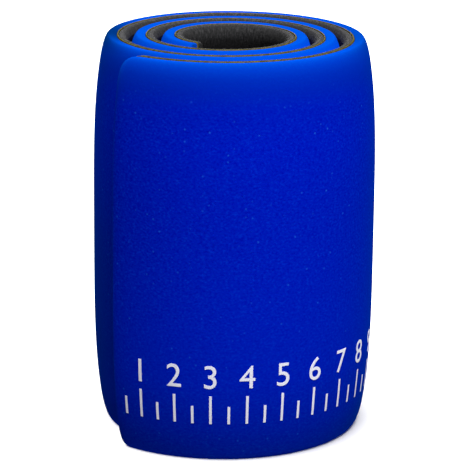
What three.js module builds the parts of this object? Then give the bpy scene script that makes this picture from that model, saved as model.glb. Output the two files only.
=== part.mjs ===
// Rolled foam splint: a flat strip of soft aluminium between two layers of foam, wound into a
// roll that stands on its lower edge. Millimetres, +Z up, the roll's box centred over the origin.

import * as THREE from 'three';
import { LoftGeometry } from 'three/addons/geometries/LoftGeometry.js';

// The flat strip
const STRIP_WIDTH = 108;
const FOAM_THICKNESS = 3.3;
const CORE_THICKNESS = 0.4;
const BOND_GAP = 0.1;
const CORE_RECESS = 0.3;

// The strip's corners, as radii seen on its flat side
const INNER_END_CORNER = 0.6;
const OUTER_END_CORNER = 5;

// Each foam's rounded edges: their depth, how square they are, and the share of the thickness
// that is left as a flat land at the very edge. Both foams' inner ends are squarer.
const OUTER_EDGE = { depth: 8.1, power: 3.33, land: 0.6 };
const INNER_EDGE = { depth: 4.2, power: 2, land: 0.2 };
const INNER_END = { depth: 1.5, power: 2, land: 0.75 };

// The roll: the core's radius at the inner end, the step outwards in each turn, the turns, and
// the inner end's heading, anticlockwise from +X. The strip winds outwards clockwise.
const INNER_RADIUS = 13.27;
const PITCH = 7.81;
const TURNS = 3.021;
const INNER_END_HEADING = THREE.MathUtils.degToRad(232.5);

// The strip bows outwards between its two edges, so that the roll is a slight barrel
const BOW = 3.1;
const BOW_POWER = 3.93;

// Facets: the angle between sections, the sections on each rounded end, the facets on each
// rounded edge, and where the facets between the edges meet, as shares of that stretch
const SECTION_ANGLE = THREE.MathUtils.degToRad(12);
const INNER_END_SECTIONS = 3;
const OUTER_END_SECTIONS = 6;
const EDGE_FACETS = 3;
const MIDDLE_SHARES = [1, 0.7, 0, -0.7, -1];

const HALF_WIDTH = STRIP_WIDTH / 2;
const FULL_TURN = 2 * Math.PI;
const ROLL_ANGLE = TURNS * FULL_TURN;
const FOAM_OFFSET = CORE_THICKNESS / 2 + BOND_GAP;

// Radius of the core's middle surface at the strip's edges, at an angle rolled from the inner end
function coreRadius(angle) {
  return INNER_RADIUS + PITCH * angle / FULL_TURN;
}

// How far the strip stands out of its edges' spiral, at a distance from its centre line
function bow(across) {
  return BOW * (1 - (Math.abs(across) / HALF_WIDTH) ** BOW_POWER);
}

// A point of the rolled strip: its rolled angle, its distance from the centre line, and its offset
// from the core's middle surface, which is positive outwards
function rolledPoint(angle, across, offset) {
  const radius = coreRadius(angle) + bow(across) + offset;
  const heading = INNER_END_HEADING - angle;
  return new THREE.Vector3(
    radius * Math.cos(heading),
    radius * Math.sin(heading),
    HALF_WIDTH + across,
  );
}

// Share of a foam's full thickness at a distance from its rounded edge
function edgeShare(distance, { depth, power, land }) {
  const left = Math.max(0, 1 - distance / depth);
  const rise = (1 - left ** power) ** (1 / power);
  return land + (1 - land) * rise;
}

// Steps over a rounded stretch of a given depth, closest together where it starts
function roundedSteps(depth, count) {
  const steps = [];
  for (let i = 0; i <= count; i += 1) {
    steps.push(depth * (1 - Math.cos(i / count * Math.PI / 2)));
  }
  return steps;
}

// One cross-section of the strip: its rolled angle, half of its width between the corners, and
// its distances from both ends
function sectionAt(angle) {
  const fromInnerEnd = angle * coreRadius(0);
  const fromOuterEnd = (ROLL_ANGLE - angle) * coreRadius(ROLL_ANGLE);
  const corner = fromInnerEnd < fromOuterEnd ? INNER_END_CORNER : OUTER_END_CORNER;
  const short = Math.max(0, corner - Math.min(fromInnerEnd, fromOuterEnd));
  const halfWidth = HALF_WIDTH - corner + Math.sqrt(corner ** 2 - short ** 2);
  return { angle, halfWidth, fromInnerEnd, fromOuterEnd };
}

// All cross-sections, from the inner end to the outer one. Those between the ends lie on the same
// headings in every turn, so that the facets of neighbouring turns stay parallel.
function rollSections() {
  const innerAngles = roundedSteps(INNER_END.depth, INNER_END_SECTIONS)
    .map((step) => step / coreRadius(0));
  const outerAngles = roundedSteps(OUTER_END_CORNER, OUTER_END_SECTIONS)
    .map((step) => ROLL_ANGLE - step / coreRadius(ROLL_ANGLE))
    .reverse();
  const first = innerAngles.at(-1) + SECTION_ANGLE / 2;
  const last = outerAngles[0] - SECTION_ANGLE / 2;
  const evenAngles = [];
  for (let i = Math.ceil(first / SECTION_ANGLE); i * SECTION_ANGLE < last; i += 1) {
    evenAngles.push(i * SECTION_ANGLE);
  }
  return [...innerAngles, ...evenAngles, ...outerAngles].map(sectionAt);
}

// Distances from the centre line, from one edge to the other, where the facets meet
function acrossSteps(halfWidth, depth, edgeFacets) {
  const inner = halfWidth - depth;
  const edges = roundedSteps(depth, edgeFacets).slice(0, -1).map((step) => halfWidth - step);
  const middle = MIDDLE_SHARES.map((share) => share * inner);
  return [...edges, ...middle, ...edges.map((across) => -across).reverse()];
}

// The same for the flat sides of the layers, which match each other and aren't rounded
function flatSteps(halfWidth) {
  return acrossSteps(halfWidth, OUTER_EDGE.depth, 1);
}

// Outline of a foam layer in one cross-section, on the outer side (1) or the inner side (-1)
function foamOutline({ angle, halfWidth, fromInnerEnd, fromOuterEnd }, edge, side) {
  const endShare = edgeShare(fromInnerEnd, INNER_END) * edgeShare(fromOuterEnd, edge);
  const face = acrossSteps(halfWidth, edge.depth, EDGE_FACETS).map((across) => {
    const thickness = FOAM_THICKNESS * endShare * edgeShare(halfWidth - Math.abs(across), edge);
    return rolledPoint(angle, across, side * (FOAM_OFFSET + thickness));
  });
  const back = flatSteps(halfWidth).map((across) => rolledPoint(angle, across, side * FOAM_OFFSET));
  return side > 0 ? [...back, ...face.reverse()] : [...face, ...back.reverse()];
}

// Outline of the core in one cross-section, a little inside the foam's outline
function coreOutline({ angle, halfWidth }) {
  const steps = flatSteps(halfWidth);
  steps[0] -= CORE_RECESS;
  steps[steps.length - 1] += CORE_RECESS;
  const innerFace = steps.map((across) => rolledPoint(angle, across, -CORE_THICKNESS / 2));
  const outerFace = steps.map((across) => rolledPoint(angle, across, CORE_THICKNESS / 2));
  return [...innerFace, ...outerFace.reverse()];
}

// A named layer of the strip, lofted through its outlines
function layer(name, outlines, material) {
  const geometry = new LoftGeometry(outlines, { closed: true, capStart: true, capEnd: true });
  const mesh = new THREE.Mesh(geometry, material);
  mesh.name = name;
  return mesh;
}

const sections = rollSections();

// The core stops short of both ends of the foam too
const coreStart = CORE_RECESS / coreRadius(0);
const coreEnd = ROLL_ANGLE - CORE_RECESS / coreRadius(ROLL_ANGLE);
const coreSections = [
  sectionAt(coreStart),
  ...sections.filter(({ angle }) => angle > coreStart && angle < coreEnd),
  sectionAt(coreEnd),
];

const outerFoam = layer(
  'outer_foam',
  sections.map((section) => foamOutline(section, OUTER_EDGE, 1)),
  new THREE.MeshStandardMaterial({ color: 0x0a35d0, roughness: 0.85, metalness: 0 }),
);

const aluminiumCore = layer(
  'aluminium_core',
  coreSections.map(coreOutline),
  new THREE.MeshStandardMaterial({ color: 0x8a7a36, roughness: 0.45, metalness: 0.7 }),
);

const innerFoam = layer(
  'inner_foam',
  sections.map((section) => foamOutline(section, INNER_EDGE, -1)),
  new THREE.MeshStandardMaterial({ color: 0x48484b, roughness: 0.95, metalness: 0 }),
);

const splint = new THREE.Group();
splint.add(outerFoam, aluminiumCore, innerFoam);

// The spiral's axis stands a little off the middle of the roll's box
const middle = new THREE.Box3().setFromObject(splint).getCenter(new THREE.Vector3());
splint.position.set(-middle.x, -middle.y, 0);

export default splint;
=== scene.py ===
# Looks of a rolled foam splint: fine meshes of its three bonded layers, their foam and metal
# finishes, a plain centimetre scale printed on the outer face, the studio and the camera.
import math
from collections import namedtuple

import bmesh
import bpy
import numpy as np
from mathutils import Matrix, Vector


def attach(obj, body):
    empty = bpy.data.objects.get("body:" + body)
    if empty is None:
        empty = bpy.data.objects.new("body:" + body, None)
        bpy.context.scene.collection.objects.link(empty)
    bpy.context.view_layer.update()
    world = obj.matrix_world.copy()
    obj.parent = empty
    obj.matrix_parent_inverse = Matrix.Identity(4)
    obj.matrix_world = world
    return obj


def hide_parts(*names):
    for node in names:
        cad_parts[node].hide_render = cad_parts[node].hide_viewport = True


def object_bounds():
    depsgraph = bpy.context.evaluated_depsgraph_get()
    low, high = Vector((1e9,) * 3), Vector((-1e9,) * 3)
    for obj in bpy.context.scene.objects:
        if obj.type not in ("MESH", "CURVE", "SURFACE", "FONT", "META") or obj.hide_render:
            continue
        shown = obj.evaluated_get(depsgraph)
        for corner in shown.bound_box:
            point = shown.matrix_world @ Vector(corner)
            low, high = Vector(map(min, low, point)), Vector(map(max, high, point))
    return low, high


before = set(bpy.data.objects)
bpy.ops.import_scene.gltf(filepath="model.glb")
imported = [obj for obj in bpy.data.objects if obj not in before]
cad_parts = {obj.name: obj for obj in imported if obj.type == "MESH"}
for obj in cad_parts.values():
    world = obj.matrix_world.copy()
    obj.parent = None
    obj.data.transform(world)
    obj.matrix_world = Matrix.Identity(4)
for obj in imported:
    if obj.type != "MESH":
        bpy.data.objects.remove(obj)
cad_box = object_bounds()

MM = 0.001
FULL_TURN = 2 * math.pi

# The flat strip, in millimetres. Offsets are counted from the middle of the core.
STRIP_WIDTH = (cad_box[1].z - cad_box[0].z) / MM
FACE_OFFSET = 3.6
SEAM_OFFSET = 0.2
INNER_END_CORNER = 0.6
OUTER_TOP_CORNER = 5
OUTER_FOOT_CORNER = 2.6

# The foams' rounded edges: their depth, how square they are, and the share of the thickness that is
# left as a land. The inner end is squarer. The lands on top swell a little, with a fillet at the core.
Edge = namedtuple("Edge", "depth power land")
OUTER_EDGE = Edge(8.1, 3.33, 0.6)
OUTER_FOOT = Edge(9, 3.2, 0.54)
INNER_EDGE = Edge(4.2, 2, 0.2)
INNER_END = Edge(1.5, 2, 0.75)
OUTER_SWELL = 0.28
INNER_SWELL = 0.16
SEAM_FILLET = 0.4

# The core's edge stands a little proud of the foam on top and at the ends, and stays off the floor
CORE_HALF_THICKNESS = 0.18
CORE_RISE = 0.22
CORE_FOOT_RECESS = 0.1

# The roll: the core's radius at the inner end, the step outwards in each turn, the turns, the inner
# end's heading, and how far and how squarely the strip bows outwards between its edges
INNER_RADIUS = 13.27
PITCH = 7.81
TURNS = 3.021
INNER_END_HEADING = math.radians(232.5)
BOW = 3.1
BOW_POWER = 3.93

# Fineness of the meshes, the angle from which their edges stay sharp, and the number of points round
# the last turn that the roll's box is measured from
SECTION_ANGLE = math.radians(2)
END_SECTIONS = 18
EDGE_FACETS = 14
MIDDLE_FACETS = 40
LAND_FACETS = 5
FILLET_FACETS = 4
SHARP_ANGLE = math.radians(50)
BOX_SAMPLES = 721

HALF_WIDTH = STRIP_WIDTH / 2
ROLL_ANGLE = TURNS * FULL_TURN


# The rolled strip as formulas
def core_radius(angle):
    return INNER_RADIUS + PITCH * angle / FULL_TURN


def strip_length(angle):
    """Length of the strip from its inner end to an angle, without the bow."""
    return angle * core_radius(angle / 2)


def bow(across):
    return BOW * (1 - np.minimum(1, np.abs(across) / HALF_WIDTH) ** BOW_POWER)


def edge_share(distance, edge):
    """Share of a foam's thickness at a distance from its rounded edge."""
    left = np.clip(1 - distance / edge.depth, 0, 1)
    return edge.land + (1 - edge.land) * (1 - left ** edge.power) ** (1 / edge.power)


def rolled(angle, across, offset):
    """Points of the strip about the spiral's axis, in millimetres."""
    radius = core_radius(angle) + bow(across) + offset
    heading = INNER_END_HEADING - angle
    height = HALF_WIDTH + across + np.zeros_like(radius)
    return np.stack([radius * np.cos(heading), radius * np.sin(heading), height], axis=-1)


def edge_steps(edge, count):
    """Distances from a rounded edge at even turns round it."""
    turn = np.linspace(0, math.pi / 2, count + 1)
    size = (np.sin(turn) ** edge.power + np.cos(turn) ** edge.power) ** (1 / edge.power)
    return edge.depth * (1 - np.cos(turn) / size)


def end_distances(angle):
    """Distances from the inner end and from the outer end of the strip."""
    return angle * core_radius(0), (ROLL_ANGLE - angle) * core_radius(ROLL_ANGLE)


def half_width(angle, outer_corner):
    """Distance from the centre line to an edge, whose corners at both ends are rounded."""
    from_inner, from_outer = end_distances(angle)
    corner = np.where(from_inner < from_outer, INNER_END_CORNER, outer_corner)
    short = np.clip(corner - np.minimum(from_inner, from_outer), 0, None)
    return HALF_WIDTH - corner + np.sqrt(corner ** 2 - short ** 2)


def foam_thickness(angle, edge):
    """Thickness of a foam layer between its two edges, which falls off at both ends."""
    from_inner, from_outer = end_distances(angle)
    full = FACE_OFFSET - SEAM_OFFSET
    return full * edge_share(from_inner, INNER_END) * edge_share(from_outer, edge)


def edges(angle):
    """Places of the foot and of the top edge across the strip."""
    return -half_width(angle, OUTER_FOOT_CORNER), half_width(angle, OUTER_TOP_CORNER)


def section_angles():
    """Angles of all sections, from the inner end to the outer one, closest together at the ends."""
    corner_steps = OUTER_TOP_CORNER * (1 - np.cos(np.linspace(0, math.pi / 2, END_SECTIONS + 1)))
    inner = edge_steps(INNER_END, END_SECTIONS) / core_radius(0)
    outer = ROLL_ANGLE - corner_steps / core_radius(ROLL_ANGLE)
    count = round((outer[-1] - inner[-1]) / SECTION_ANGLE)
    even = np.linspace(inner[-1], outer[-1], count + 1)[1:-1]
    return np.concatenate([inner, even, outer[::-1]])


def roll_axis():
    """Place of the spiral's axis, which leaves the roll's box centred over the origin."""
    angle = np.linspace(ROLL_ANGLE - FULL_TURN, ROLL_ANGLE, BOX_SAMPLES)
    points = rolled(angle, 0, SEAM_OFFSET + foam_thickness(angle, OUTER_EDGE))
    middle = (points.min(axis=0) + points.max(axis=0)) / 2
    return np.array([-middle[0], -middle[1], 0])


AXIS = roll_axis()


# Meshes
def add_object(name, data):
    piece = bpy.data.objects.new(name, data)
    bpy.context.collection.objects.link(piece)
    return piece


def closed_mesh(name, points, faces):
    """A mesh of points in millimetres about the spiral's axis."""
    mesh = bpy.data.meshes.new(name)
    mesh.from_pydata(((points + AXIS) * MM).tolist(), [], faces)
    mesh.shade_smooth()
    mesh.set_sharp_from_angle(angle=SHARP_ANGLE)
    return mesh


def loft(name, rings, strip):
    """A closed mesh through equal rings of points, with flat ends.
    strip holds each point's place on the flat strip: along, around the section, below the top edge."""
    count, size, _ = rings.shape
    corner = np.arange(count * size).reshape(count, size)
    here = corner[:-1]
    there = corner[1:]
    quads = np.stack([here, np.roll(here, -1, 1), np.roll(there, -1, 1), there], axis=-1)
    faces = quads.reshape(-1, 4).tolist()
    faces.append(corner[0][::-1].tolist())
    faces.append(corner[-1].tolist())
    mesh = closed_mesh(name, rings.reshape(-1, 3), faces)
    place = mesh.attributes.new("strip", "FLOAT_VECTOR", "POINT")
    place.data.foreach_set("vector", strip.astype(np.float32).ravel())
    return add_object(name, mesh)


def strip_places(angle, rings, below_top):
    """Each ring point's place on the flat strip, as loft takes it."""
    along = np.broadcast_to(strip_length(angle), below_top.shape)
    steps = np.linalg.norm(np.diff(rings, axis=1), axis=-1)
    around = np.concatenate([np.zeros((len(rings), 1)), np.cumsum(steps, axis=1)], axis=1)
    return np.stack([along, around, below_top], axis=-1)


def foam_outline(angle, thickness, top, foot):
    """Places across the strip and offsets from the core, round each section of a foam layer."""
    low, high = edges(angle)
    top_inset = edge_steps(top, EDGE_FACETS)[None, :-1]
    foot_inset = edge_steps(foot, EDGE_FACETS)[None, -2::-1]
    middle = np.linspace(0, 1, MIDDLE_FACETS + 1)[None]
    down = (high - top.depth) * (1 - middle) + (low + foot.depth) * middle
    face_across = np.concatenate([high - top_inset, down, low + foot_inset], axis=1)
    top_share = edge_share(high - face_across, top)
    foot_share = edge_share(face_across - low, foot)
    face_offset = SEAM_OFFSET + thickness * np.where(face_across > 0, top_share, foot_share)

    fillet = np.minimum(SEAM_FILLET, thickness * top.land / 2)
    back_across = (low + fillet) * (1 - middle) + (high - fillet) * middle
    back_offset = np.full_like(back_across, SEAM_OFFSET)
    turn = np.linspace(0, math.pi / 2, FILLET_FACETS + 1)[None, 1:]
    fillet_inset = fillet * (1 - np.sin(turn))
    fillet_offset = SEAM_OFFSET + fillet * (1 - np.cos(turn))

    share = np.linspace(0, 1, LAND_FACETS + 1)[None, 1:-1]
    flat = np.zeros_like(share)
    seam_side = fillet_offset[:, -1:]
    top_land = seam_side + (face_offset[:, :1] - seam_side) * share
    foot_land = seam_side + (face_offset[:, -1:] - seam_side) * share

    across = np.concatenate([
        back_across, high - fillet_inset, high + flat,
        face_across, low + flat, (low + fillet_inset)[:, ::-1],
    ], axis=1)
    offset = np.concatenate([
        back_offset, fillet_offset, top_land,
        face_offset, foot_land[:, ::-1], fillet_offset[:, ::-1],
    ], axis=1)
    return across, offset


def foam_layer(name, top, foot, swell, side):
    """A foam layer on the outer side (1) or the inner side (-1) of the core."""
    angle = section_angles()[:, None]
    thickness = foam_thickness(angle, top)
    across, offset = foam_outline(angle, thickness, top, foot)
    below_top = edges(angle)[1] - across
    near_top = np.clip(1 - below_top / top.depth, 0, 1)
    off_seam = np.clip((offset - SEAM_OFFSET) / (thickness * top.land), 0, 1)
    lifted = across + swell * near_top * np.sin(off_seam * math.pi / 2) ** 2
    rings = rolled(angle, lifted, side * offset)
    strip = strip_places(angle, rings, below_top)
    return loft(name, rings[:, ::-side], strip[:, ::-side])


def core_strip(name):
    """The metal strip, with a rounded edge that shows as a fine line between the foams."""
    start = -CORE_RISE / core_radius(0)
    stop = ROLL_ANGLE + CORE_RISE / core_radius(ROLL_ANGLE)
    angle = np.concatenate([[start], section_angles(), [stop]])[:, None]
    on_strip = np.clip(angle, 0, ROLL_ANGLE)
    low, high = edges(on_strip)
    turn = np.linspace(0, math.pi, 2 * FILLET_FACETS + 1)[None]
    cap = CORE_HALF_THICKNESS * np.sin(turn)
    cap_offset = -CORE_HALF_THICKNESS * np.cos(turn) + np.zeros_like(high)
    foot = low + CORE_HALF_THICKNESS + CORE_FOOT_RECESS
    crest = high + CORE_RISE - CORE_HALF_THICKNESS
    rising = foot + (crest - foot) * np.linspace(0, 1, MIDDLE_FACETS + 1)[None, 1:-1]
    across = np.concatenate([rising, crest + cap, rising[:, ::-1], foot - cap], axis=1)
    face_offset = np.full_like(rising, CORE_HALF_THICKNESS)
    offset = np.concatenate([-face_offset, cap_offset, face_offset, -cap_offset], axis=1)
    rings = rolled(angle, across, offset)
    strip = strip_places(on_strip, rings, high - across)
    return loft(name, rings[:, ::-1], strip[:, ::-1])


# The printed scale, counted in centimetres from the outer end, along most of one turn of the outer face
SCALE_CENTIMETRES = 20
CENTIMETRE = 10
SCALE_ABOVE_FOOT = 11
TICK_WIDTH = 0.7
WHOLE_TICK = 8
HALF_TICK = 5
NUMERAL_GAP = 2.2
NUMERAL_HEIGHT = 6.4
INK_PROUD = 0.05
INK_SUNK = 0.08
INK_CELL = 1.0

SCALE_FOOT = SCALE_ABOVE_FOOT - HALF_WIDTH
NUMERAL_FOOT = SCALE_FOOT + WHOLE_TICK + NUMERAL_GAP


def angle_from_outer_end(distance):
    """Rolled angle at a distance from the outer end, measured along the outer face."""
    radius = core_radius(ROLL_ANGLE) + BOW + FACE_OFFSET
    turned = (radius - np.sqrt(radius ** 2 - PITCH * distance / math.pi)) * FULL_TURN / PITCH
    return ROLL_ANGLE - turned


def numeral_mesh(text):
    """A flat mesh of a number in the built-in font, centred over the origin, in the font's own units."""
    curve = bpy.data.curves.new("numeral", "FONT")
    curve.body = text
    curve.align_x = "CENTER"
    writing = add_object("numeral", curve)
    mesh = bpy.data.meshes.new_from_object(writing)
    bpy.data.objects.remove(writing)
    return mesh


def add_tick(flat, middle, height):
    left = middle - TICK_WIDTH / 2
    right = middle + TICK_WIDTH / 2
    top = SCALE_FOOT + height
    corners = [(left, SCALE_FOOT, 0), (right, SCALE_FOOT, 0), (right, top, 0), (left, top, 0)]
    flat.faces.new([flat.verts.new(corner) for corner in corners])


def add_numeral(flat, number, scale):
    first = len(flat.verts)
    flat.from_mesh(numeral_mesh(str(number)))
    flat.verts.ensure_lookup_table()
    for vert in flat.verts[first:]:
        vert.co = Vector((CENTIMETRE * number, NUMERAL_FOOT, 0)) + scale * vert.co


def cut_in_cells(flat, normal, low, high):
    """Cut the flat print along even lines, so that it can follow the roll."""
    for place in np.arange(low, high, INK_CELL):
        geometry = [*flat.verts, *flat.edges, *flat.faces]
        bmesh.ops.bisect_plane(flat, geom=geometry, plane_co=normal * place, plane_no=normal)


def flat_scale():
    """Ticks and numerals as flat faces, along and across the strip."""
    flat = bmesh.new()
    zero = numeral_mesh("0")
    scale = NUMERAL_HEIGHT / max(vert.co.y for vert in zero.vertices)
    for number in range(1, SCALE_CENTIMETRES + 1):
        add_tick(flat, CENTIMETRE * (number - 0.5), HALF_TICK)
        add_tick(flat, CENTIMETRE * number, WHOLE_TICK)
        add_numeral(flat, number, scale)
    cut_in_cells(flat, Vector((1, 0, 0)), 0, CENTIMETRE * (SCALE_CENTIMETRES + 1))
    cut_in_cells(flat, Vector((0, 1, 0)), SCALE_FOOT + INK_CELL / 2, NUMERAL_FOOT + NUMERAL_HEIGHT)
    flat.verts.index_update()
    return flat


def scale_print(name):
    """Ticks and numerals as thin closed solids on the outer face."""
    flat = flat_scale()
    place = np.array([vert.co[:2] for vert in flat.verts])
    tops = [[vert.index for vert in face.verts] for face in flat.faces]
    rims = [(loop.vert.index, loop.link_loop_next.vert.index)
            for edge in flat.edges if edge.is_boundary for loop in edge.link_loops]
    flat.free()
    angle = angle_from_outer_end(place[:, 0])
    count = len(place)
    points = np.concatenate([
        rolled(angle, place[:, 1], FACE_OFFSET + INK_PROUD),
        rolled(angle, place[:, 1], FACE_OFFSET - INK_SUNK),
    ])
    floors = [[index + count for index in reversed(face)] for face in tops]
    walls = [[end, start, start + count, end + count] for start, end in rims]
    return add_object(name, closed_mesh(name, points, tops + floors + walls))


outer_foam = foam_layer("outer_foam_layer", OUTER_EDGE, OUTER_FOOT, OUTER_SWELL, 1)
inner_foam = foam_layer("inner_foam_layer", INNER_EDGE, INNER_EDGE, INNER_SWELL, -1)
core = core_strip("core_strip")
scale_marks = scale_print("printed_scale")

for piece, node, slot in (
    (outer_foam, "outer_foam", "blue_foam"),
    (core, "aluminium_core", "core_metal"),
    (inner_foam, "inner_foam", "charcoal_foam"),
):
    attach(piece, "root")
    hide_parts(node)
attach(scale_marks, "root")


# Camera, at the photograph's angle. The roll's middle shows at MIDDLE_PIXEL in the 470 pixel frame.
FRAME_PIXELS = 470
MIDDLE_PIXEL = (226.4, 227.2)
PIXELS_PER_MM = 3.609
CAMERA_DISTANCE = 720
CAMERA_ELEVATION = math.radians(15.5)
CAMERA_ROLL = math.radians(0.6)
SENSOR_WIDTH = 36


def make_camera():
    data = bpy.data.cameras.new("camera")
    data.sensor_width = SENSOR_WIDTH
    data.lens = SENSOR_WIDTH * PIXELS_PER_MM * CAMERA_DISTANCE / FRAME_PIXELS
    camera = add_object("camera", data)
    middle = Vector(AXIS) + Vector((0, 0, HALF_WIDTH))
    back = Vector((0, -math.cos(CAMERA_ELEVATION), math.sin(CAMERA_ELEVATION)))
    up = Vector((0, math.sin(CAMERA_ELEVATION), math.cos(CAMERA_ELEVATION)))
    right = Vector((1, 0, 0))
    off_right = (FRAME_PIXELS / 2 - MIDDLE_PIXEL[0]) / PIXELS_PER_MM
    off_down = (FRAME_PIXELS / 2 - MIDDLE_PIXEL[1]) / PIXELS_PER_MM
    place = middle + back * CAMERA_DISTANCE
    aim = middle + right * off_right - up * off_down
    turn = (aim - place).to_track_quat("-Z", "Y").to_matrix().to_4x4()
    camera.matrix_world = Matrix.Translation(place * MM) @ turn @ Matrix.Rotation(CAMERA_ROLL, 4, "Z")
    bpy.context.scene.camera = camera


make_camera()

# What the finishes are described by. A fade maps one range of a value onto another. A grain is a noise
# whose scale counts features in a metre. A surface has its roughness where its grain is low and where
# it is high, and the strength and the depth in metres of its relief.
Fade = namedtuple("Fade", "low high start stop")
Grain = namedtuple("Grain", "scale detail roughness")
Surface = namedtuple("Surface", "low_roughness high_roughness relief depth")
GRAIN_LOW = 0.3
GRAIN_HIGH = 0.7

# A mix node's sockets for colours
MIX_FACTOR = 0
MIX_FIRST = 6
MIX_SECOND = 7
MIX_RESULT = 2


# Nodes of the finishes
def new_finish(name, values):
    """A material with the values that are the same all over its surface."""
    paint = bpy.data.materials.new(name)
    paint.use_nodes = True
    shader = paint.node_tree.nodes["Principled BSDF"]
    for socket, value in values.items():
        shader.inputs[socket].default_value = value
    return paint


def add_node(tree, kind, inputs=(), **settings):
    """A node with its settings, and with its input sockets set to values or linked to outputs."""
    node = tree.nodes.new(kind)
    for key, value in settings.items():
        setattr(node, key, value)
    for socket, value in dict(inputs).items():
        if isinstance(value, bpy.types.NodeSocket):
            tree.links.new(value, node.inputs[socket])
        else:
            node.inputs[socket].default_value = value
    return node


def math_node(tree, operation, first, second):
    return add_node(tree, "ShaderNodeMath", {0: first, 1: second}, operation=operation).outputs[0]


def product(tree, value, *factors):
    for factor in factors:
        value = math_node(tree, "MULTIPLY", value, factor)
    return value


def spread(tree, value, low, high, start, stop):
    """Map a value from one range onto another, held at the ends."""
    inputs = {"Value": value, "From Min": low, "From Max": high, "To Min": start, "To Max": stop}
    node = add_node(tree, "ShaderNodeMapRange", inputs, interpolation_type="SMOOTHSTEP")
    return node.outputs["Result"]


def noise(tree, vector, grain):
    inputs = {
        "Vector": vector, "Scale": grain.scale,
        "Detail": grain.detail, "Roughness": grain.roughness,
    }
    return add_node(tree, "ShaderNodeTexNoise", inputs).outputs["Fac"]


def stretched(tree, vector, factors):
    inputs = {0: vector, 1: factors}
    return add_node(tree, "ShaderNodeVectorMath", inputs, operation="MULTIPLY").outputs["Vector"]


def mix_colour(tree, factor, first, second, blend="MIX"):
    inputs = {MIX_FACTOR: factor, MIX_FIRST: first, MIX_SECOND: second}
    node = add_node(tree, "ShaderNodeMix", inputs, data_type="RGBA", blend_type=blend, clamp_factor=True)
    return node.outputs[MIX_RESULT]


def colour_ramp(tree, value, stops):
    """A colour that follows a value through stops of value and colour."""
    lowest = stops[0][0]
    highest = stops[-1][0]
    inputs = {"Value": value, "From Min": lowest, "From Max": highest}
    share = add_node(tree, "ShaderNodeMapRange", inputs).outputs["Result"]
    ramp = add_node(tree, "ShaderNodeValToRGB", {0: share})
    elements = ramp.color_ramp.elements
    # New stops start in the middle and are then moved to their places
    while len(elements) < len(stops):
        elements.new(0.5)
    for element, (at, colour) in zip(elements, stops):
        element.position = (at - lowest) / (highest - lowest)
        element.color = (*colour, 1)
    return ramp.outputs["Color"]


def object_place(tree):
    return add_node(tree, "ShaderNodeTexCoord").outputs["Object"]


def strip_place(tree):
    """The flat strip's own coordinates in millimetres, whole and apart."""
    vector = add_node(tree, "ShaderNodeAttribute", attribute_name="strip").outputs["Vector"]
    return vector, add_node(tree, "ShaderNodeSeparateXYZ", {0: vector}).outputs


def dress(paint, body, grain, height, surface):
    """Link a finish's colour, its roughness, which follows its grain, and its relief."""
    tree = paint.node_tree
    shader = tree.nodes["Principled BSDF"]
    tree.links.new(body, shader.inputs["Base Color"])
    ends = (surface.low_roughness, surface.high_roughness)
    tree.links.new(spread(tree, grain, GRAIN_LOW, GRAIN_HIGH, *ends), shader.inputs["Roughness"])
    inputs = {"Height": height, "Strength": surface.relief, "Distance": surface.depth}
    relief = add_node(tree, "ShaderNodeBump", inputs)
    tree.links.new(relief.outputs["Normal"], shader.inputs["Normal"])


# Lengths of the strip round the mouth of the roll, and up to where the last turn starts
MOUTH_LENGTH = strip_length(FULL_TURN)
COVERED_LENGTH = strip_length(ROLL_ANGLE - FULL_TURN)

# The blue skin's colour by the distance below the top edge: the foam's own blue on the face, a painted
# highlight along the top edge with a darker painted band just below it, and painted shade and light near
# the foot.
# The inner turns, which the last turn covers, are painted brighter just below their top edges, as
# painted light.
BLUE_STOPS = (
    (0, (0, 0.051, 0.45)),
    (1.5, (0, 0.0335, 0.445)),
    (4, (0, 0.0205, 0.4)),
    (7, (0, 0.0143, 0.393)),
    (12, (0, 0.0093, 0.443)),
    (22, (0, 0.009, 0.495)),
    (86, (0, 0.0118, 0.48)),
    (102, (0, 0.0118, 0.393)),
    (105, (0, 0.0143, 0.436)),
    (108, (0, 0.0236, 0.657)),
)
INNER_TURN_LIGHT_STOPS = (
    (0, (0, 0.05, 0.41)),
    (1.5, (0, 0.058, 0.72)),
    (4, (0, 0.046, 0.94)),
    (12, (0, 0.016, 0.6)),
)
INNER_TURN_LIGHT = Fade(COVERED_LENGTH - 12, COVERED_LENGTH, 1, 0)

# The last turn's top edge has painted shade in two places: their middles past the covered turns, their
# reach to both sides, and their strength
Shade = namedtuple("Shade", "middle reach strength")
PAINTED_EDGE_SHADES = (Shade(26, 25, 1), Shade(121, 30, 0.45))
PAINTED_EDGE_SHADE_DEPTH = Fade(0, 4.5, 1, 0)
PAINTED_EDGE_SHADE_TINT = (1, 0.33, 0.25, 1)

# The face beside the outer end has painted shade from mid-height down to near the foot
BESIDE_END = Fade(COVERED_LENGTH + 40, COVERED_LENGTH + 70, 1, 0)
LOW_SHADE_FROM = Fade(30, 65, 0, 1)
LOW_SHADE_TO = Fade(84, 100, 1, 0)
LOW_SHADE_TINT = (1, 1, 0.74, 1)

# How strongly the blue skin's mottle and specks show: hardly at the top edge, and less towards the foot
# and beside the outer end
ROUGH_BELOW_TOP = Fade(5, 16, 0.1, 1)
SMOOTHER_TO_FOOT = Fade(45, 85, 1, 0.6)
SMOOTHER_BESIDE_END = Fade(0, 1, 1, 0.6)

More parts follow.
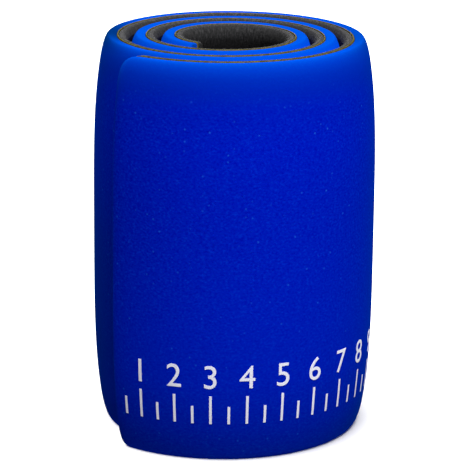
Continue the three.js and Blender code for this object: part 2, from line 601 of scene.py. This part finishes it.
# The mottle's dark and pale patches, which are a little flattened, and the pale specks, which are
# painted glints: the scale of the cells that hold them, their size in a cell, and the cells that have
# one
BLUE_MOTTLE = Grain(1400, 2, 0.5)
MOTTLE_STRETCH = (1, 1, 1.4)
DARK_PATCHES = Fade(0.28, 0.5, 1, 0)
DARK_PATCH_TINT = (1, 0.45, 0.86, 1)
PALE_PATCHES = Fade(0.5, 0.78, 0, 1)
PALE_PATCH_TINT = (1, 2.5, 1.16, 1)
SPECK_CELLS = 620
SPECK_SIZE = Fade(0.08, 0.26, 1, 0)
SPECK_CHOICE = Fade(0.8, 1, 0, 0.65)
GLINT_SPECK_COLOUR = (0.012, 0.1, 0.68, 1)

BLUE_GRAIN = Grain(1500, 3, 0.5)
BLUE_SURFACE = Surface(0.8, 0.95, 0.2, 0.0002)
BLUE_VALUES = {
    "Specular IOR Level": 0.0,
    "Sheen Weight": 0.0215,
    "Sheen Roughness": 0.4,
    "Sheen Tint": (0, 0.75, 1, 1),
}


def blue_skin(tree, along, below_top, beside_end):
    """The blue foam's colour with its painted light and shade, without its mottle and specks."""
    # The foam's own blue with a painted highlight, painted shade and painted light by the height
    face_colour_and_painted_light = colour_ramp(tree, below_top, BLUE_STOPS)
    # Painted light on the inner turns, which the last turn covers
    inner_painted_light = colour_ramp(tree, below_top, INNER_TURN_LIGHT_STOPS)
    skin = mix_colour(tree, spread(tree, along, *INNER_TURN_LIGHT), face_colour_and_painted_light, inner_painted_light)
    top_edge = spread(tree, below_top, *PAINTED_EDGE_SHADE_DEPTH)
    # Painted shade on the last turn's top edge
    for shade in PAINTED_EDGE_SHADES:
        past = math_node(tree, "SUBTRACT", along, COVERED_LENGTH + shade.middle)
        away = math_node(tree, "ABSOLUTE", past, 0)
        shaded = product(tree, top_edge, spread(tree, away, 0, shade.reach, shade.strength, 0))
        skin = mix_colour(tree, shaded, skin, PAINTED_EDGE_SHADE_TINT, "MULTIPLY")
    # Painted shade on the face beside the outer end
    from_middle = spread(tree, below_top, *LOW_SHADE_FROM)
    to_foot = spread(tree, below_top, *LOW_SHADE_TO)
    low_shade = product(tree, beside_end, from_middle, to_foot)
    return mix_colour(tree, low_shade, skin, LOW_SHADE_TINT, "MULTIPLY")


def specks(tree, place):
    """Soft dots in some of the cells of a fine pattern, for the painted glints."""
    cells = add_node(tree, "ShaderNodeTexVoronoi", {"Vector": place, "Scale": SPECK_CELLS})
    chance = add_node(tree, "ShaderNodeSeparateColor", {0: cells.outputs["Color"]}).outputs["Red"]
    dot = spread(tree, cells.outputs["Distance"], *SPECK_SIZE)
    return product(tree, dot, spread(tree, chance, *SPECK_CHOICE))


def blue_foam_finish():
    paint = new_finish("blue_foam", BLUE_VALUES)
    tree = paint.node_tree
    place = object_place(tree)
    _, parts = strip_place(tree)
    along = parts["X"]
    below_top = parts["Z"]
    beside_end = spread(tree, along, *BESIDE_END)
    skin = blue_skin(tree, along, below_top, beside_end)
    rough_skin = product(
        tree,
        spread(tree, below_top, *ROUGH_BELOW_TOP),
        spread(tree, below_top, *SMOOTHER_TO_FOOT),
        spread(tree, beside_end, *SMOOTHER_BESIDE_END),
    )
    mottle = noise(tree, stretched(tree, place, MOTTLE_STRETCH), BLUE_MOTTLE)
    dark = product(tree, spread(tree, mottle, *DARK_PATCHES), rough_skin)
    body = mix_colour(tree, dark, skin, DARK_PATCH_TINT, "MULTIPLY")
    pale = product(tree, spread(tree, mottle, *PALE_PATCHES), rough_skin)
    body = mix_colour(tree, pale, body, PALE_PATCH_TINT, "MULTIPLY")
    # Pale specks as painted glints
    body = mix_colour(tree, product(tree, specks(tree, place), rough_skin), body, GLINT_SPECK_COLOUR)
    grain = noise(tree, place, BLUE_GRAIN)
    dress(paint, body, grain, grain, BLUE_SURFACE)
    return paint


# The charcoal skin's grey by the distance from the nearer edge: the cut edge is paler than the face, and
# further from the edge the grey darkens as painted shade
CHARCOAL_STOPS = (
    (0, (0.043, 0.043, 0.044)),
    (0.4, (0.028, 0.028, 0.029)),
    (1.2, (0.03, 0.03, 0.031)),
    (2.5, (0.0286, 0.0286, 0.03)),
    (4, (0.0207, 0.0207, 0.022)),
    (6, (0.01, 0.01, 0.0107)),
)

# Between the turns, where it faces the blue skin, it is painted dark navy a little below the edge:
# painted shade with a blue cast
BETWEEN_TURNS = Fade(MOUTH_LENGTH - 20, MOUTH_LENGTH, 0, 1)
GROOVE_DEPTH = Fade(1.7, 2.2, 0, 1)
GROOVE_PAINTED_SHADE = (0.001, 0.0014, 0.016, 1)

# Its pile, and its fibres, which run across the edge and are fainter on the face. Their noise is
# stretched from the strip's own millimetres.
CHARCOAL_PILE = Grain(2200, 4, 0.65)
DARK_PILE = Fade(0.35, 0.68, 0.45, 0)
DARK_PILE_COLOUR = (0.003, 0.003, 0.0035, 1)
FIBRES = Grain(1, 3, 0.6)
FIBRE_STRETCH = (2.3, 0.6, 0)
COMBED_EDGE = Fade(3, 10, 1, 0.3)
DARK_FIBRES = Fade(0.3, 0.5, 0.8, 0)
DARK_FIBRE_TINT = (0.35, 0.35, 0.38, 1)
PALE_FIBRES = Fade(0.5, 0.7, 0, 1)
PALE_FIBRE_TINT = (1.9, 1.9, 1.9, 1)

CHARCOAL_SURFACE = Surface(0.85, 1, 0.4, 0.0003)
CHARCOAL_VALUES = {"Specular IOR Level": 0.07}


def charcoal_foam_finish():
    paint = new_finish("charcoal_foam", CHARCOAL_VALUES)
    tree = paint.node_tree
    vector, parts = strip_place(tree)
    above_foot = math_node(tree, "SUBTRACT", STRIP_WIDTH, parts["Z"])
    from_edge = math_node(tree, "MINIMUM", parts["Z"], above_foot)
    # The charcoal's own grey, with painted shade deeper from the edge
    skin = colour_ramp(tree, from_edge, CHARCOAL_STOPS)
    between_turns = spread(tree, parts["X"], *BETWEEN_TURNS)
    # Painted shade with a blue cast between the turns
    groove_shade = product(tree, between_turns, spread(tree, from_edge, *GROOVE_DEPTH))
    skin = mix_colour(tree, groove_shade, skin, GROOVE_PAINTED_SHADE)
    pile = noise(tree, object_place(tree), CHARCOAL_PILE)
    body = mix_colour(tree, spread(tree, pile, *DARK_PILE), skin, DARK_PILE_COLOUR)
    fibres = noise(tree, stretched(tree, vector, FIBRE_STRETCH), FIBRES)
    combed = spread(tree, from_edge, *COMBED_EDGE)
    dark = product(tree, spread(tree, fibres, *DARK_FIBRES), combed)
    body = mix_colour(tree, dark, body, DARK_FIBRE_TINT, "MULTIPLY")
    pale = product(tree, spread(tree, fibres, *PALE_FIBRES), combed)
    body = mix_colour(tree, pale, body, PALE_FIBRE_TINT, "MULTIPLY")
    dress(paint, body, pile, math_node(tree, "ADD", fibres, pile), CHARCOAL_SURFACE)
    return paint


# The core's olive metal and the white ink are each of two shades in patches
CORE_GRAIN = Grain(900, 4, 0.6)
CORE_PATCHES = Fade(0.4, 0.62, 0, 1)
CORE_SHADES = ((0.114, 0.093, 0.013, 1), (0.064, 0.053, 0.0114, 1))
CORE_SURFACE = Surface(0.4, 0.65, 0.2, 0.0001)
CORE_VALUES = {"Metallic": 0.1, "Specular IOR Level": 0.0}

INK_GRAIN = Grain(1300, 4, 0.6)
INK_PATCHES = Fade(0.4, 0.75, 0, 0.5)
INK_SHADES = ((0.88, 0.88, 1, 1), (0.8, 0.81, 0.95, 1))
INK_SURFACE = Surface(0.55, 0.75, 0.2, 0.0001)
INK_VALUES = {"Specular IOR Level": 0.2}


def patchy_finish(name, values, grain, patches, shades, surface):
    paint = new_finish(name, values)
    tree = paint.node_tree
    mottle = noise(tree, object_place(tree), grain)
    body = mix_colour(tree, spread(tree, mottle, *patches), *shades)
    dress(paint, body, mottle, mottle, surface)
    return paint


def core_metal_finish():
    return patchy_finish("core_metal", CORE_VALUES, CORE_GRAIN, CORE_PATCHES, CORE_SHADES, CORE_SURFACE)


def white_ink_finish():
    return patchy_finish("white_ink", INK_VALUES, INK_GRAIN, INK_PATCHES, INK_SHADES, INK_SURFACE)


outer_foam.data.materials.append(blue_foam_finish())
inner_foam.data.materials.append(charcoal_foam_finish())
core.data.materials.append(core_metal_finish())
scale_marks.data.materials.append(white_ink_finish())


# Studio: a white floor and backdrop, a large key light high at the front right, a weaker one high at
# the back left, a low one behind, and weak light all round, stronger from below as from a white table.
# The floor has a light of its own and shades nothing. Angles are in degrees, lengths in metres.
Softbox = namedtuple("Softbox", "name elevation heading size power")
SOFTBOXES = (
    Softbox("key", 65, -65, 1.6, 104),
    Softbox("rim", 58, 135, 1.2, 14),
    Softbox("back", 14, 95, 1.2, 34),
)
SOFTBOX_DISTANCE = 2.2
SKY_ABOVE = 0.1
SKY_BELOW = 0.24
HORIZON_FADE = 0.1
FLOOR_SIZE = 6
FLOOR_VALUES = {"Base Color": (0.9, 0.9, 0.91, 1), "Roughness": 0.9, "Specular IOR Level": 0.0}
FLOOR_LIGHT_POWER = 8
FLOOR_LIGHT_DIRECTION = (0.2, 0, -1)
FLOOR_LIGHT_SPREAD = 90


def make_sky():
    """A sky that is white to the camera and lights the scene only weakly."""
    world = bpy.data.worlds.new("studio")
    world.use_nodes = True
    tree = world.node_tree
    direction = add_node(tree, "ShaderNodeTexCoord").outputs["Generated"]
    height = add_node(tree, "ShaderNodeSeparateXYZ", {0: direction}).outputs["Z"]
    light = spread(tree, height, -HORIZON_FADE, HORIZON_FADE, SKY_BELOW, SKY_ABOVE)
    seen = add_node(tree, "ShaderNodeLightPath").outputs["Is Camera Ray"]
    strength = math_node(tree, "MAXIMUM", light, seen)
    sky = tree.nodes["Background"]
    sky.inputs["Color"].default_value = (1, 1, 1, 1)
    tree.links.new(strength, sky.inputs["Strength"])
    bpy.context.scene.world = world


def make_floor():
    bpy.ops.mesh.primitive_plane_add(size=FLOOR_SIZE)
    floor = bpy.context.active_object
    floor.name = "floor"
    floor.data.materials.append(new_finish("floor_white", FLOOR_VALUES))
    floor.visible_diffuse = False
    floor.visible_shadow = False
    return floor


def point_light(light, direction):
    light.rotation_mode = "QUATERNION"
    light.rotation_quaternion = direction.to_track_quat("-Z", "Y")


def light_only(light, pieces):
    group = bpy.data.collections.new(light.name + "_lights")
    for piece in pieces:
        group.objects.link(piece)
    light.light_linking.receiver_collection = group


def add_softbox(box, pieces):
    """A square light that faces the roll's middle and lights the given pieces only."""
    data = bpy.data.lights.new(box.name, "AREA")
    data.shape = "SQUARE"
    data.size = box.size
    data.energy = box.power
    softbox = add_object(box.name, data)
    elevation = math.radians(box.elevation)
    heading = math.radians(box.heading)
    level = math.cos(elevation)
    towards = Vector((level * math.cos(heading), level * math.sin(heading), math.sin(elevation)))
    softbox.location = towards * SOFTBOX_DISTANCE + Vector((0, 0, HALF_WIDTH * MM))
    point_light(softbox, -towards)
    light_only(softbox, pieces)


def add_floor_light(floor):
    data = bpy.data.lights.new("floor_light", "SUN")
    data.energy = FLOOR_LIGHT_POWER
    data.angle = math.radians(FLOOR_LIGHT_SPREAD)
    light = add_object("floor_light", data)
    point_light(light, Vector(FLOOR_LIGHT_DIRECTION))
    light_only(light, [floor])


make_sky()
floor = make_floor()
for box in SOFTBOXES:
    add_softbox(box, [outer_foam, inner_foam, core, scale_marks])
add_floor_light(floor)
bpy.context.scene.view_settings.view_transform = "Standard"
